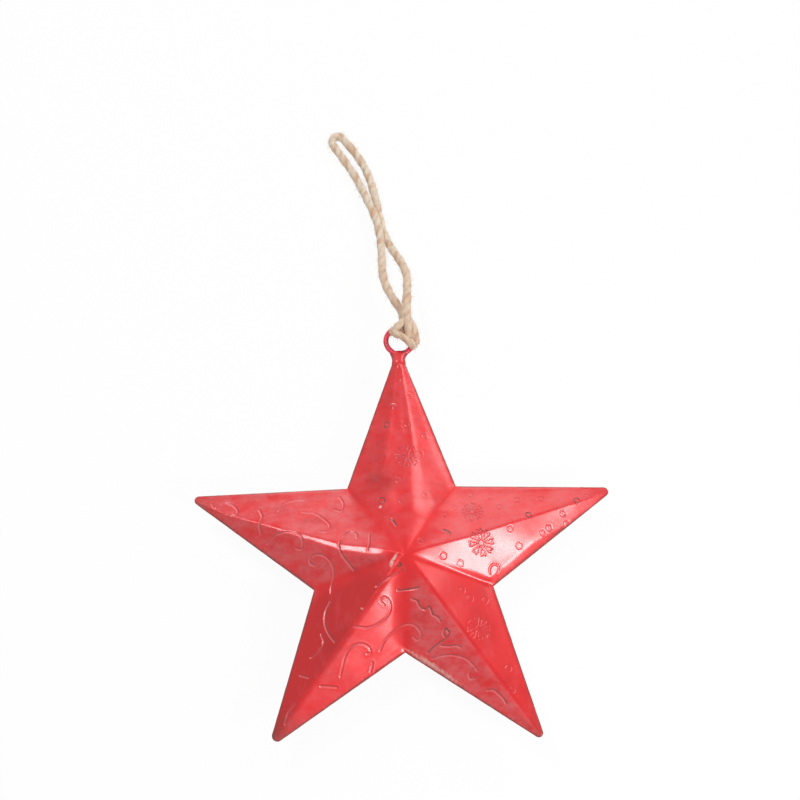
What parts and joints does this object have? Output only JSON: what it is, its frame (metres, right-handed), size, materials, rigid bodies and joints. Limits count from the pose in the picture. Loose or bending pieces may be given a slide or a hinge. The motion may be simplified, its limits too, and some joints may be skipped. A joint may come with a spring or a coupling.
{
  "type": "hanging star ornament",
  "caption": "Pressed tin star with a painted front, embossed flowers and scrolls, a wire eye at one tip and a loop of jute twine to hang it by.",
  "frame": {"origin": "centre of the blunted peak of the back shell, where the star rests on a surface", "axes": "+Z out of the painted front face, +Y from the star's centre to the hanging eye, +X to the right as the front is seen with the eye at the top"},
  "size_m": [0.1498, 0.2423, 0.029],
  "materials": {
    "red_paint": "glossy red lacquer over embossed tin, darker in the stamped lines",
    "crimson_paint": "the same lacquer on wire, a little more crimson",
    "bare_tin": "bright tin plate with grey antiqued embossing",
    "solder": "dull brown-grey soft solder",
    "jute": "natural jute twine, hairy and twisted"
  },
  "bodies": {
    "star": {"front_shell": "red_paint", "back_shell": "bare_tin", "seam_solder": "solder", "hanging_eye": "crimson_paint", "eye_solder": "red_paint"},
    "hitch": {"cord_hitch": "jute"},
    "loop": {"cord_loop": "jute"}
  },
  "joints": [
    {"name": "hitch_slide", "type": "hinge", "parent": "star", "child": "hitch", "pos_m": [0.0005, 0.08396, 0.0145], "axis": [0, 0, 1], "range_deg": [-45, 125]},
    {"name": "loop_swing", "type": "hinge", "parent": "hitch", "child": "loop", "pos_m": [0.00198, 0.08879, 0.0145], "axis": [0.9563, -0.2924, 0], "range_deg": [-135, 135]}
  ]
}
